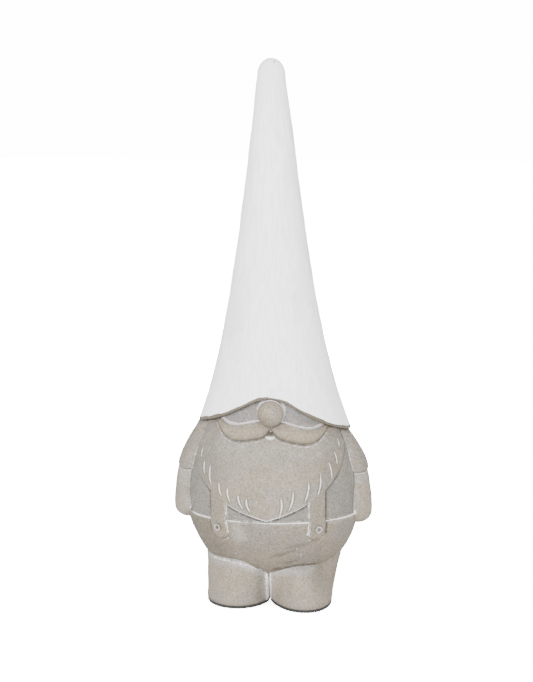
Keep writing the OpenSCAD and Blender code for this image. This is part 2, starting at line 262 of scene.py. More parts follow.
def lobe_mid(th):
    """Height of the middle line of the moustache, which sags and turns up at the tips."""
    t = np.minimum(1.0, np.abs(th) / MOUSTACHE_HALF)
    sag = 4.6 * np.sin(math.pi * t**1.25) ** 2
    middle = MOUSTACHE_Z - MOUSTACHE_TILT / 2 * th / MOUSTACHE_HALF
    return middle - sag + 4.3 * t**4 + 2.5 * lobe_root(t)


def lobe_half(th):
    """Half the moustache's height."""
    t = np.minimum(1.0, np.abs(th) / MOUSTACHE_HALF)
    return 0.9 + 6.8 * np.maximum(0, np.sin(math.pi * t**0.6)) ** 0.85 - 1.4 * lobe_root(t)


def edge_distance(th, z, edge, step=0.5):
    """Distance from a point on the body to a line of height edge(th), positive above it."""
    slope = (edge(th + step) - edge(th - step)) / np.abs(arc(2 * step, th, z))
    return (z - edge(th)) / np.sqrt(1 + slope**2)


def arm_front_edge(th, z, side):
    """Distance forward of the front edge of an arm, in millimetres."""
    return arc(ARM_ANGLE - ARM_HALF - side * th, th, z)


# Carved strokes of the beard: angle and height of the top end, then of the bottom end
BEARD_STROKES = [
    (-58.5, 146.0, -57.5, 138.5),
    (-51.5, 134.0, -49.5, 124.5),
    (-44.0, 130.5, -42.8, 117.5),
    (-35.0, 117.5, -33.2, 107.5),
    (-28.0, 113.5, -26.8, 103.0),
    (-20.3, 107.0, -18.0, 97.5),
    (-14.8, 104.5, -13.2, 94.8),
    (7.6, 105.0, 7.0, 92.8),
    (15.0, 110.5, 13.0, 97.5),
    (25.5, 118.3, 23.6, 104.8),
    (34.5, 125.4, 33.0, 110.7),
    (43.0, 135.6, 44.0, 124.0),
    (50.8, 145.0, 51.4, 135.5),
    (59.0, 155.5, 58.0, 148.5),
]


def stroke_field(th, z):
    """How deep in a carved stroke each point is, and how close beside one, where painted shade
    outlines it. A stroke is a thin bowed cut that tapers to its top."""
    field = np.zeros(np.broadcast(th, z).shape)
    stroke_shade = field.copy()
    for top_th, top_z, low_th, low_z in BEARD_STROKES:
        mid_th, mid_z = (top_th + low_th) / 2, (top_z + low_z) / 2
        x = arc(th - mid_th, mid_th, mid_z)
        across = arc(top_th - low_th, mid_th, mid_z)
        length = math.hypot(across, top_z - low_z)
        ux, uz = across / length, (top_z - low_z) / length
        along = (x * ux + (z - mid_z) * uz) / (1.35 * length) + 0.5
        inside = np.clip(along, 0, 1)
        bow = -1.2 * math.copysign(1, mid_th) * (np.sin(math.pi * inside) - 0.5)
        off_line = x * uz - (z - mid_z) * ux + bow
        half_w = 0.1 + 0.52 * np.sin(math.pi * (1 - inside) ** 0.75) ** 0.6
        on = (along > -0.02) & (along < 1.02)
        field = np.maximum(field, np.where(on, ridge(off_line, half_w), 0))
        beside = ridge(np.abs(off_line) - half_w - 0.7, 0.55)
        stroke_shade = np.maximum(stroke_shade, np.where(on, beside, 0))
    return field, stroke_shade * (1 - field)


# ---- meshes ----


def grid_normals(points):
    """Unit normals of a grid of points. They may all face inwards."""
    n = np.cross(np.gradient(points, axis=1), np.gradient(points, axis=0))
    return n / np.maximum(np.linalg.norm(n, axis=-1, keepdims=True), 1e-9)


def make_mesh(name, points, faces, masks, material, nodes):
    """One visual piece, in place of the CAD nodes it shows."""
    mesh = bpy.data.meshes.new(name)
    mesh.from_pydata((points * MM).tolist(), [], faces)
    for mask_name, values in masks.items():
        attribute = mesh.attributes.new(mask_name, "FLOAT", "POINT")
        attribute.data.foreach_set("value", np.asarray(values, np.float32).ravel())
    mesh.polygons.foreach_set("use_smooth", [True] * len(mesh.polygons))
    mesh.update()
    piece = bpy.data.objects.new(name, mesh)
    bpy.context.scene.collection.objects.link(piece)
    piece.data.materials.append(material)
    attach(piece, "root")
    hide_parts(*nodes)
    return piece


def skin_faces(rows, columns, loop=False):
    """Quads over rows of rings, as in a lathe: each ring is closed, and a loop of rings too."""
    last = rows if loop else rows - 1
    r = np.arange(last)[:, None] * columns
    up = ((np.arange(last) + 1) % rows)[:, None] * columns
    i = np.arange(columns)[None, :]
    j = (i + 1) % columns
    quads = np.stack([r + i, r + j, up + j, up + i], axis=-1).reshape(-1, 4).tolist()
    if not loop:
        quads.append(list(range(columns))[::-1])
        quads.append([(rows - 1) * columns + k for k in range(columns)])
    return quads


def skin(name, rings, masks, material, nodes, loop=False):
    rings = np.asarray(rings)
    rows, columns = rings.shape[:2]
    faces = skin_faces(rows, columns, loop)
    return make_mesh(name, rings.reshape(-1, 3), faces, masks, material, nodes)


def relief(name, th, z, out, back, masks, material, nodes):
    """A slab on the body. th, z, out are grids of columns by rows; the back is a few rows."""
    picks = np.linspace(0, z.shape[1] - 1, 6).round().astype(int)
    face = on_body(th, z, out)[:, ::-1]
    rear = on_body(th[:, picks], z[:, picks], back[:, picks])
    rings = np.concatenate([rear, face], axis=1)
    padded = {}
    for key, values in masks.items():
        values = np.broadcast_to(values, z.shape)
        padded[key] = np.concatenate([values[:, picks], values[:, ::-1]], axis=1)
    return skin(name, rings, padded, material, nodes)


def across_strip(mid, half, count):
    """Angles across a rounded strip, closer together at its edges."""
    return mid + half * np.sin(np.linspace(-math.pi / 2, math.pi / 2, count))


def body_frame(th, z, off):
    """Matrix that stands a piece on the body, its own +Z pointing straight out."""
    step = 0.5
    across = on_body(th + step, z, off) - on_body(th - step, z, off)
    along = on_body(th, z + step, off) - on_body(th, z - step, off)
    out = np.cross(across, along)
    out /= np.linalg.norm(out)
    across /= np.linalg.norm(across)
    return np.stack([across, np.cross(out, across), out], axis=1), on_body(th, z, off)


# ---- materials ----


class Nodes:
    """Short hand for building one material."""

    def __init__(self, name):
        self.material = bpy.data.materials.new(name)
        self.material.use_nodes = True
        self.tree = self.material.node_tree
        self.shader = self.tree.nodes["Principled BSDF"]
        self.place = self.add("ShaderNodeTexCoord").outputs["Object"]

    def add(self, kind, inputs=(), **settings):
        node = self.tree.nodes.new(kind)
        for key, value in settings.items():
            setattr(node, key, value)
        for key, value in dict(inputs).items():
            self.put(value, node.inputs[key])
        return node

    def put(self, value, socket):
        if isinstance(value, bpy.types.NodeSocket):
            self.tree.links.new(value, socket)
        else:
            socket.default_value = value

    def stretched(self, scale):
        mapping = self.add("ShaderNodeMapping", {"Vector": self.place, "Scale": scale})
        return mapping.outputs["Vector"]

    def noise(self, size_mm, detail=3.0, rough=0.55, place=None):
        node = self.add(
            "ShaderNodeTexNoise",
            {
                "Vector": place or self.place,
                "Scale": 1 / (size_mm * MM),
                "Detail": detail,
                "Roughness": rough,
            },
        )
        return node.outputs["Fac"]

    def spots(self, spacing_mm, radius):
        """1 in small round spots scattered about one to a cell, 0 between them."""
        node = self.add(
            "ShaderNodeTexVoronoi",
            {"Vector": self.place, "Scale": 1 / (spacing_mm * MM)},
        )
        return self.ramp(node.outputs["Distance"], radius, radius * 0.55)

    def ramp(self, value, low, high):
        """0 at low, 1 at high, held outside them."""
        node = self.add(
            "ShaderNodeMapRange",
            {"Value": value, "From Min": low, "From Max": high},
            interpolation_type="SMOOTHSTEP",
        )
        return node.outputs["Result"]

    def math(self, operation, a, b=0.0):
        node = self.add("ShaderNodeMath", operation=operation)
        self.put(a, node.inputs[0])
        self.put(b, node.inputs[1])
        return node.outputs[0]

    def blend(self, factor, a, b, mode="MIX"):
        node = self.add("ShaderNodeMix", data_type="RGBA", blend_type=mode)
        self.put(factor, node.inputs[0])
        self.put(a, node.inputs[6])
        self.put(b, node.inputs[7])
        return node.outputs[2]

    def mask(self, name):
        return self.add("ShaderNodeAttribute", attribute_name=name).outputs["Fac"]

    def bump(self, height, strength, depth_mm, below=None):
        node = self.add(
            "ShaderNodeBump",
            {"Height": height, "Strength": strength, "Distance": depth_mm * MM},
        )
        if below is not None:
            self.put(below, node.inputs["Normal"])
        return node.outputs["Normal"]


def grey(value, warmth=0.0):
    return (value * (1 + warmth), value, value * (1 - 1.3 * warmth), 1.0)


def cement(name, tone, warmth):
    """Fine sandy cement. Masks: film is a thin pale veil of lime, slurry is thick white lime,
    the darkening mask is painted shade in creases, along edges and under overhangs, mottled like
    dirt, and worn is rubbed paler."""
    n = Nodes(name)

    def tinted(factor, colour, low, high):
        return n.blend(1.0, colour, n.blend(factor, grey(low), grey(high)), "MULTIPLY")

    patches = n.ramp(n.noise(30, 4.0, 0.6), 0.38, 0.62)
    colour = n.blend(patches, grey(tone * 0.99, warmth * 0.7), grey(tone * 1.01, warmth * 1.05))
    clouded = n.ramp(n.math("ADD", n.mask("film"), n.noise(11, 4.0, 0.65)), 0.55, 1.25)
    colour = n.blend(clouded, colour, grey(tone * 1.1 + 0.06, warmth * 0.4))
    colour = tinted(n.ramp(n.noise(8, 4.0, 0.65), 0.3, 0.7), colour, 0.94, 1.06)
    colour = tinted(n.mask("worn"), colour, 0.97, 1.06)
    sand = n.ramp(n.noise(1.4, 3.0, 0.75), 0.3, 0.7)
    colour = tinted(sand, colour, 0.68, 1.38)
    grit = n.ramp(n.noise(1.0, 2.0, 0.6), 0.60, 0.70)
    colour = n.blend(n.math("MULTIPLY", grit, 0.45), colour, grey(tone * 0.45, warmth))
    # Painted shade: darkens wherever the darkening mask lies, broken up by noise as dirt would be
    shade_and_dirt_amount = n.math("MULTIPLY", n.mask("cavity"), n.ramp(n.noise(4.5, 4.0, 0.6), 0.1, 0.6))
    colour = n.blend(shade_and_dirt_amount, colour, grey(tone * 0.28, warmth))
    specks = n.math("MULTIPLY", n.spots(7, 0.09), n.ramp(n.noise(22, 2.0), 0.5, 0.6))
    colour = n.blend(specks, colour, grey(0.62, 0.03))
    ragged = n.math("ADD", n.mask("slurry"), n.math("MULTIPLY", n.noise(3.4, 4.0, 0.75), 1.3))
    lime = n.ramp(ragged, 0.98, 1.42)
    colour = n.blend(lime, colour, grey(0.72, 0.02))
    n.put(colour, n.shader.inputs["Base Color"])
    n.shader.inputs["Roughness"].default_value = 0.88
    n.shader.inputs["Specular IOR Level"].default_value = 0.3
    pits = n.math("SUBTRACT", 1.0, n.spots(4.5, 0.1))
    height = n.math("ADD", n.math("MULTIPLY", sand, 0.6), n.math("MULTIPLY", pits, 0.9))
    height = n.math("ADD", height, n.math("MULTIPLY", n.noise(0.6, 2.0), 0.5))
    height = n.math("ADD", height, n.math("MULTIPLY", lime, 0.6))
    coarse = n.bump(n.noise(9, 3.0), 0.4, 1.4)
    n.put(n.bump(height, 0.6, 0.5, coarse), n.shader.inputs["Normal"])
    return n.material


def white_paint():
    """Brushed matte white, thin over the cement, with a bare lip at the brim."""
    n = Nodes("white_paint")
    streaks = n.ramp(n.noise(2.4, 4.0, 0.6, n.stretched((1.0, 1.0, 0.04))), 0.3, 0.7)
    colour = n.blend(streaks, grey(0.82), grey(0.98))
    thin = n.ramp(n.noise(48, 4.0, 0.6, n.stretched((1.0, 1.0, 0.35))), 0.48, 0.66)
    colour = n.blend(n.math("MULTIPLY", thin, 0.4), colour, grey(0.72))
    smear = n.ramp(n.noise(9, 4.0, 0.7, n.stretched((1.0, 1.0, 0.3))), 0.60, 0.74)
    colour = n.blend(n.math("MULTIPLY", smear, 0.35), colour, grey(0.62))
    worn_through = n.math("ADD", n.mask("bare"), n.math("MULTIPLY", n.noise(2.5, 4.0, 0.7), 0.8))
    bare = n.ramp(worn_through, 0.86, 0.98)
    sand = n.ramp(n.noise(1.5, 3.0, 0.7), 0.28, 0.72)
    below = n.blend(sand, grey(0.055, 0.22), grey(0.115, 0.18))
    n.put(n.blend(bare, colour, below), n.shader.inputs["Base Color"])
    n.shader.inputs["Roughness"].default_value = 0.68
    n.shader.inputs["Specular IOR Level"].default_value = 0.35
    height = n.math("ADD", n.math("MULTIPLY", streaks, 0.5), n.math("MULTIPLY", sand, 0.25))
    coarse = n.bump(n.noise(14, 3.0), 0.3, 1.0)
    n.put(n.bump(height, 0.3, 0.3, coarse), n.shader.inputs["Normal"])
    return n.material


def foam():
    n = Nodes("pad_foam")
    cells = n.noise(1.0, 3.0)
    n.put(n.blend(cells, grey(0.012), grey(0.035)), n.shader.inputs["Base Color"])
    n.shader.inputs["Roughness"].default_value = 0.95
    n.put(n.bump(cells, 0.6, 0.3), n.shader.inputs["Normal"])
    return n.material


def steel():
    n = Nodes("rod_steel")
    scratches = n.noise(1.5, 3.0, 0.6, n.stretched((1.0, 1.0, 0.1)))
    n.put(n.blend(scratches, grey(0.32), grey(0.5)), n.shader.inputs["Base Color"])
    n.shader.inputs["Metallic"].default_value = 1.0
    n.shader.inputs["Roughness"].default_value = 0.4
    return n.material


SHIRT = cement("shirt_cement", 0.146, 0.11)
CLOTH = cement("trouser_cement", 0.141, 0.19)
SLEEVE = cement("sleeve_cement", 0.163, 0.16)
PALE = cement("rubbed_cement", 0.182, 0.17)
FACE = cement("worn_cement", 0.173, 0.21)
WHITE = white_paint()


# ---- the pieces ----


def turn(count):
    return np.arange(count) * 360.0 / count


def build_hat():
    th = turn(256)[None, :]
    v = np.linspace(0, 1, 200)[:, None] ** 1.15
    low = brim_height(th) + LIP_ROUND
    z = mix(low, GNOME_H - TIP_DOME, v)
    outside = on_hat(th, z)
    tip_a = np.radians(np.linspace(6, 88, 16))[:, None]
    tip = on_hat(th, GNOME_H - TIP_DOME * (1 - np.sin(tip_a)) + 0 * th)
    lip_a = np.radians(np.linspace(90, 0, 7)[:-1])[:, None]
    lip_z, lip_in = low - LIP_ROUND * np.sin(lip_a), LIP_ROUND * (1 - np.cos(lip_a))
    lip_outer = on_hat(th, lip_z, -lip_in)
    lip_inner = on_hat(th, lip_z[::-1], -HAT_WALL + lip_in[::-1])
    down = np.linspace(1, 0, 24)[:, None]
    inside = on_hat(th, mix(low, GNOME_H - SOLID_TIP_H, down), -HAT_WALL)
    face = np.concatenate([lip_outer, outside, tip])
    normals = grid_normals(face)
    heights = face[..., 2:3]
    wobble = 0.45 * lumps(face, 60, 3) + 0.16 * lumps(face, 17, 4)
    settle = smooth((heights[..., 0] - BRIM_Z) / 30)
    centre = np.array([0.0, BODY_Y, 0.0])
    outward = np.sign(np.sum(normals * (face - centre) * [1, 1, 0], axis=-1, keepdims=True))
    face = face + normals * outward * (wobble * (0.4 + 0.6 * settle))[..., None]
    rings = np.concatenate([inside, lip_inner, face])
    z_all = rings[..., 2]
    from_lip = z_all - (brim_height(th) + 0 * z_all)
    bare = 1 - smooth((from_lip - 2.5 - 0.7 * lumps(rings, 22, 9)) / 1.0)
    bare[: len(inside) + len(lip_inner)] = 1.0
    chips = smooth((z_all - GNOME_H + 10) / 10) * smooth(lumps(rings, 6, 12) - 0.35) * 0.9
    masks = {"bare": np.maximum(bare, chips)}
    return skin("painted_hat", rings, masks, WHITE, ["hat_shell"])


def shirt_masks(th, z):
    """Painted shade and lime beside everything that lies on the shirt, and a pale veil on the face.
    """
    beard = np.where(np.abs(th) < BEARD_HALF + 6, -edge_distance(th, z, beard_edge), FAR)
    beard = np.where(beard > -4, np.abs(beard), FAR)
    above_lobe = z - lobe_mid(th) - lobe_half(th)
    lobe = np.where((np.abs(th) < MOUSTACHE_HALF + 2) & (above_lobe > -3), np.abs(above_lobe), FAR)
    left_arm, right_arm = arm_front_edge(th, z, LEFT), arm_front_edge(th, z, RIGHT)
    arm = np.minimum(np.abs(left_arm), np.abs(right_arm))
    arm = np.where((np.abs(th) < 90) & (z > HAND_Z), arm, FAR)
    nose = np.hypot(arc(th, 0, z), z - NOSE_Z) - NOSE_R
    nose = np.where(np.abs(th) < 40, np.abs(nose), FAR)
    inner, outer = brace_sides(th, z)
    waist = np.abs(z - WAIST_Z - 0.6)
    on_face = smooth((above_lobe + 1) / 2) * smooth((MOUSTACHE_HALF - np.abs(th)) / 8)
    on_face = on_face * (1 - 0.45 * smooth((th - 14) / 10))
    slurry = 0.55 * ridge(waist, 0.6)
    slurry = np.maximum(slurry, 0.8 * ridge(lobe, 1.2))
    slurry = np.maximum(slurry, 0.8 * ridge(nose, 1.8))
    slurry = np.maximum(slurry, 0.6 * ridge(inner, 0.9) * (np.abs(th) < 90))
    slurry = np.maximum(slurry, on_face * (0.05 + 0.4 * np.exp(-nose / 3)))
    film = np.maximum(0.35 * np.exp(-beard / 5), 0.45 * np.exp(-arm / 7))
    film = np.maximum(film, 0.5 * smooth((z - 138) / 25))
    film = np.maximum(film, 0.55 * on_face)
    # Painted shade: dark lines along the beard, arm and outer brace edges, and a dark spot in the
    # corner between arm, brim and beard
    cavity = 0.95 * ridge(np.maximum(beard - 1.2, 0), 1.1)
    cavity = np.maximum(cavity, 0.95 * ridge(np.maximum(arm - 0.9, 0), 1.1))
    cavity = np.maximum(cavity, 0.9 * ridge(np.maximum(outer - 2.0, 0), 0.9))
    corner = np.hypot(arc(np.abs(th) - (ARM_ANGLE - ARM_HALF - 4), th, z) / 5, (z - 158) / 7)
    cavity = np.maximum(cavity, ridge(corner, 1.0))
    return {"slurry": slurry, "film": film, "cavity": cavity, "worn": 0 * z}


def brace_sides(th, z):
    """Distance to the nearest brace edge: those nearer the front middle, and the others."""
    inner = np.full(np.broadcast(th, z).shape, FAR)
    outer = inner.copy()
    for mid in brace_angles():
        gap = signed(th - mid)
        toward_middle = -gap if mid > 0 else gap
        at_edge = arc(toward_middle, mid, z) - arc(BRACE_HALF, mid, z)
        far_edge = arc(toward_middle, mid, z) + arc(BRACE_HALF, mid, z)
        ends_at = 128.0 if abs(mid) < 90 else 190.0
        on = (z > BRACE_END + 5) & (z < ends_at) & (np.abs(gap) < 12)
        reach = np.where(on, 0.0, 50.0)
        inner = np.minimum(inner, np.abs(at_edge) + reach)
        outer = np.minimum(outer, np.abs(far_edge) + reach)
    return inner, outer


def build_torso():
    th = turn(512)[None, :]
    visible = np.linspace(WAIST_Z - 4, 200, 150)
    hidden = np.linspace(203, CROWN_Z, 8)
    z = np.concatenate([visible, hidden])[:, None] + 0 * th
    grid_th = th + 0 * z
    outside = on_body(grid_th, z, 0.25 * lumps(on_body(grid_th, z), 26, 21))
    z_in = np.linspace(CROWN_Z, WAIST_Z - 4, 10)[:, None] + 0 * th
    inside = on_body(th + 0 * z_in, z_in, -BODY_WALL)
    masks = shirt_masks(signed(grid_th), z)
    masks = {k: np.concatenate([v, np.zeros(z_in.shape)]) for k, v in masks.items()}
    rings = np.concatenate([outside, inside])
    return skin("torso", rings, masks, SHIRT, ["torso_shell"], loop=True)


def build_trousers():
    th = turn(512)[None, :]
    waist_a = math.acos((BELLY_Z - WAIST_Z + WAIST_ROUND) / (BELLY_Z - BELLY_BOTTOM))
    a = np.linspace(0.05, waist_a, 120)[:, None]
    z = BELLY_Z - (BELLY_Z - BELLY_BOTTOM) * np.cos(a) + 0 * th
    grid_th = th + 0 * z
    base = on_body(grid_th, z)
    folds = fold_field(grid_th, z)
    off = trouser_flare(z) + 0.3 * lumps(base, 28, 31) * smooth((WAIST_Z - z) / 8) - 0.75 * folds
    outside = on_body(grid_th, z, off)
    edge_a = np.radians(np.linspace(12, 90, 7))[:, None]
    edge_z = WAIST_Z - WAIST_ROUND + WAIST_ROUND * np.sin(edge_a) + 0 * th
    edge = on_body(th + 0 * edge_z, edge_z, WAIST_STEP - WAIST_ROUND * (1 - np.cos(edge_a)))
    drop_z = np.array([WAIST_Z, WAIST_Z - 6.0])[:, None] + 0 * th
    drop = on_body(th + 0 * drop_z, drop_z, np.array([-1.5, -BODY_WALL])[:, None])
    inner_a = np.linspace(waist_a * 0.9, 0.1, 12)[:, None]
    inner_z = BELLY_Z - (BELLY_Z - BELLY_BOTTOM - BODY_WALL) * np.cos(inner_a) + 0 * th
    inside = on_body(th + 0 * inner_z, inner_z, -BODY_WALL)
    rings = np.concatenate([outside, edge, drop, inside])
    all_folds = np.concatenate([folds, np.zeros((len(rings) - len(folds), folds.shape[1]))])
    masks = trouser_masks(signed(th + 0 * rings[..., 2]), rings, all_folds)
    return skin("trousers", rings, masks, CLOTH, ["trousers_shell"])


def trouser_masks(th, points, folds):
    """Lime under the waist edge and inside the braces, painted shade over the creases, in the
    folds, along the brace edges and under the belly.
    """
    z = points[..., 2]
    front, left = np.abs(th) < 88, th > 0
    crease = np.where(left, crease_height(LEFT, th), crease_height(RIGHT, th))
    above_crease = z - crease
    fade = np.where(left, 1 - smooth((np.abs(th) - 38) / 12), 1.0) * front
    below_waist = WAIST_Z - z
    inner, outer = brace_sides(th, z)
    end = brace_ends(th, z)
    bright = 0.85 + 0.1 * np.sign(th) + 0.25 * lumps(points, 22, 33)
    slurry = bright * ridge(np.maximum(below_waist - 0.3, 0), 0.7)
    slurry = np.maximum(slurry, 0.75 * ridge(inner - 0.3, 0.8) * (np.abs(th) < 90))
    slurry = np.maximum(slurry, 0.5 * ridge(end - 1.8, 0.7))
    slurry = np.maximum(slurry, 0.4 * ridge(above_crease, 1.5) * ~left)
    stain = np.hypot(arc(th + 22, -22, z) / 9, (z - 72) / 9)
    shine = np.hypot(arc(th - 48, 48, z) / 12, (z - 64) / 14)
    film = np.maximum(0.65 * ridge(stain, 1.0), 0.2 * ridge(shine, 1.0))
    film = np.maximum(film, 0.5 * np.exp(-np.abs(below_waist) / 4))
    above = np.where(left, ridge(above_crease - 1.5, 2.4), 0.6 * ridge(above_crease - 1.5, 2.0))
    # Darker below z 60 (painted shade under the belly) and towards the gnome's right front; painted
    # shadow over the leg creases; painted shade along the brace edges and ends and in the folds
    cavity = np.maximum(0.15 * smooth((60 - z) / 25), 0.42 * smooth((-th - 22) / 25) * front)
    cavity = np.maximum(cavity, 0.85 * above * fade)
    cavity = np.maximum(cavity, 0.9 * ridge(np.maximum(outer - 2.0, 0), 0.9))
    cavity = np.maximum(cavity, 0.8 * ridge(end, 0.8))
    cavity = np.maximum(cavity, 0.5 * folds)
    return {"slurry": slurry, "film": film, "cavity": cavity, "worn": smooth((z - 55) / 20)}


def brace_ends(th, z):
    """Distance outside the rounded end of the nearest brace."""
    end = np.full(np.broadcast(th, z).shape, FAR)
    for mid in brace_angles():
        gap = signed(th - mid)
        d = np.abs(np.hypot(arc(gap, mid, z), z - BRACE_END - BRACE_ROUND) - BRACE_ROUND - 0.2)
        end = np.minimum(end, np.where(z < BRACE_END + BRACE_ROUND, d, FAR))
    return end


def front_brace_angle(side):
    return side * FRONT_BRACE + BEARD_SHIFT


def brace_angles():
    return [front_brace_angle(LEFT), front_brace_angle(RIGHT), REAR_BRACE, -REAR_BRACE]


# Soft folds of the trousers over the crotch: angle and height of each end
TROUSER_FOLDS = [
    (-9.0, 47.0, 25.0, 61.0),
    (3.0, 44.0, 26.0, 47.0),
    (-27.0, 52.5, -4.0, 41.0),
    (8.0, 60.0, 34.0, 66.0),
]


def fold_field(th, z):
    field = np.zeros(np.broadcast(th, z).shape)
    for th0, z0, th1, z1 in TROUSER_FOLDS:
        mid_th, mid_z = (th0 + th1) / 2, (z0 + z1) / 2
        x = arc(th - mid_th, mid_th, mid_z)
        across = arc(th1 - th0, mid_th, mid_z)
        length = math.hypot(across, z1 - z0)
        ux, uz = across / length, (z1 - z0) / length
        along = (x * ux + (z - mid_z) * uz) / length + 0.5
        bow = 1.2 * np.sin(math.pi * np.clip(along, 0, 1))
        off_line = -x * uz + (z - mid_z) * ux + bow
        ends = np.sin(math.pi * np.clip(along, 0, 1)) ** 0.7
        field = np.maximum(field, ridge(off_line, 1.7) * ends * (np.abs(x) < 40))
    return field * (np.abs(th) < 70)


# The legs, by side
FOOT_SHIFT = -1.5
SEAM_GAP = 0.1
INTO_BELLY = 1.5
FOOT_BACK = 40.0
THIGH_FRONT, THIGH_BACK = 54.0, 42.0
INNER_SQUARENESS, OUTER_SQUARENESS = 8.0, 2.35
FOOT_OVERLAP = 1.8
FOOT_W = {LEFT: 60.0, RIGHT: 60.8}
FOOT_FRONT = {LEFT: 55.0, RIGHT: 45.4}
TOE_OUT = {LEFT: math.tan(math.radians(18)), RIGHT: math.tan(math.radians(3))}
THIGH_W = {LEFT: 67.0, RIGHT: 60.8}
CROTCH_Z = {LEFT: 35.0, RIGHT: 31.0}
CREASE_RISE = {LEFT: 3.8, RIGHT: 13.3}
CREASE_SPAN = {LEFT: 28.0, RIGHT: 36.0}
SIDE_RISE = {LEFT: 14.0, RIGHT: 1.0}
OUTER_LEAN = {LEFT: 1.6, RIGHT: 3.0}


def leg_middle(side):
    return FOOT_SHIFT + side * (FOOT_W[side] / 2 - FOOT_OVERLAP)


def foot_outline(side, a):
    """Outline of the sole, cut flat where the two feet meet."""
    half = FOOT_W[side] / 2
    reach = np.where(np.cos(a) > 0, FOOT_FRONT[side], FOOT_BACK)
    x = leg_middle(side) + half * np.sin(a)
    y = -reach * np.cos(a) - TOE_OUT[side] * side * (x - leg_middle(side))
    x = FOOT_SHIFT + side * np.maximum(SEAM_GAP, side * (x - FOOT_SHIFT))
    return np.stack([x, y], axis=-1)


def crease_height(side, th):
    """Height at which the belly comes down on a leg, at an angle round the belly."""
    s = np.abs(th)
    s = np.minimum(s, 180 - s)
    rise = np.sin(math.pi / 2 * np.clip(s / CREASE_SPAN[side], 0, 1))
    return CROTCH_Z[side] + CREASE_RISE[side] * rise + SIDE_RISE[side] * smooth((s - 48) / 40)


def thigh_outline(side, a):
    """Outline of a leg where it meets the underside of the belly."""
    half = THIGH_W[side] / 2
    square = np.where(side * np.sin(a) < 0, INNER_SQUARENESS, OUTER_SQUARENESS)
    swell = (np.abs(np.sin(a)) ** square + np.abs(np.cos(a)) ** square) ** (-1 / square)
    x = FOOT_SHIFT + side * (half + SEAM_GAP) + half * swell * np.sin(a)
    y = -np.where(np.cos(a) > 0, THIGH_FRONT, THIGH_BACK) * swell * np.cos(a)
    ratio = np.where(y < BODY_Y, FRONT_RATIO, BACK_RATIO)
    dx, dy = (x - BELLY_SHIFT) / BELLY_HALF, (y - BODY_Y) / (BELLY_HALF * ratio)
    th = np.degrees(np.arctan2(dx, -dy))
    fall = (BELLY_Z - crease_height(side, th)) / (BELLY_Z - BELLY_BOTTOM)
    pull = np.minimum(1.0, np.sqrt(1 - fall**BELLY_FULLNESS) / np.maximum(np.hypot(dx, dy), 1e-6))
    return np.stack([BELLY_SHIFT + (x - BELLY_SHIFT) * pull, BODY_Y + (y - BODY_Y) * pull], axis=-1)


def build_leg(side):
    name = SIDE_NAME[side]
    a = np.radians(turn(360))[None, :]
    v = (1 - (1 - np.linspace(0, 1, 100)) ** 1.4)[:, None]
    foot, top = foot_outline(side, a), thigh_outline(side, a)
    lean = np.where(side * np.sin(a) < 0, 0.55, OUTER_LEAN[side])
    lean = mix(lean, 4.8, np.cos(a) ** 4)
    p = mix(foot, top, (v**lean)[..., None])
    z_top = underside(top[..., 0], top[..., 1]) + INTO_BELLY
    z = mix(PAD_H, z_top, v)
    centre = np.array([leg_middle(side), 0.0])
    p = centre + (p - centre) * (1 - 0.045 * (1 - rounded(z - PAD_H, 4.0)))[..., None]
    walls = np.concatenate([p, z[..., None]], axis=-1)
    outward = (p - centre) / np.linalg.norm(p - centre, axis=-1, keepdims=True)
    walls[..., :2] += outward * (0.35 * lumps(walls, 30, 40 + side) * smooth(z / 10))[..., None]
    shrink = np.array([0.9, 0.6, 0.3, 0.05])[:, None, None]
    lid = centre + (top - centre) * shrink
    lid_z = underside(lid[..., 0], lid[..., 1]) + INTO_BELLY
    rings = np.concatenate([walls, np.concatenate([lid, lid_z[..., None]], axis=-1)])
    below = np.concatenate([z_top - INTO_BELLY - z, np.zeros(lid_z.shape)])
    front = smooth((-rings[..., 1] - 8) / 20)
    from_seam = side * (rings[..., 0] - FOOT_SHIFT)
    flank = smooth((from_seam - 34) / 16) if side == LEFT else 0 * from_seam
    # Lime along the leg's top ledge, which is also a painted highlight where that ledge catches the
    # light
    lime_and_highlight_ledge = ridge(below - 1.2, 1.5) * (0.54 if side == RIGHT else 0.2)
    valley = 1 - smooth((from_seam - 1.2) / (4.0 if side == RIGHT else 2.6))
    slurry = np.maximum(lime_and_highlight_ledge * front * (1 - flank), valley * 0.8)
    film = np.maximum(0.7 * ridge(below - 2, 4.5) * (1 - flank), 0.5 * ridge(from_seam, 6))
    # Painted shade on the inner side of the gnome's right leg before the valley; also darker
    # towards the foot, and on the outer flank of the left leg
    cavity = 0.5 * ridge(from_seam - 8, 3.5) * front * (side == RIGHT)
    cavity = np.maximum(cavity, 0.35 * smooth((7 - rings[..., 2]) / 7))
    cavity = np.maximum(cavity, 0.3 * flank * smooth((rings[..., 2] - 10) / 20))
    masks = {"slurry": slurry, "film": film, "cavity": cavity, "worn": 0.6 * (1 - flank)}
    return skin(f"{name}_leg_cast", rings, masks, PALE, [f"{name}_leg"])


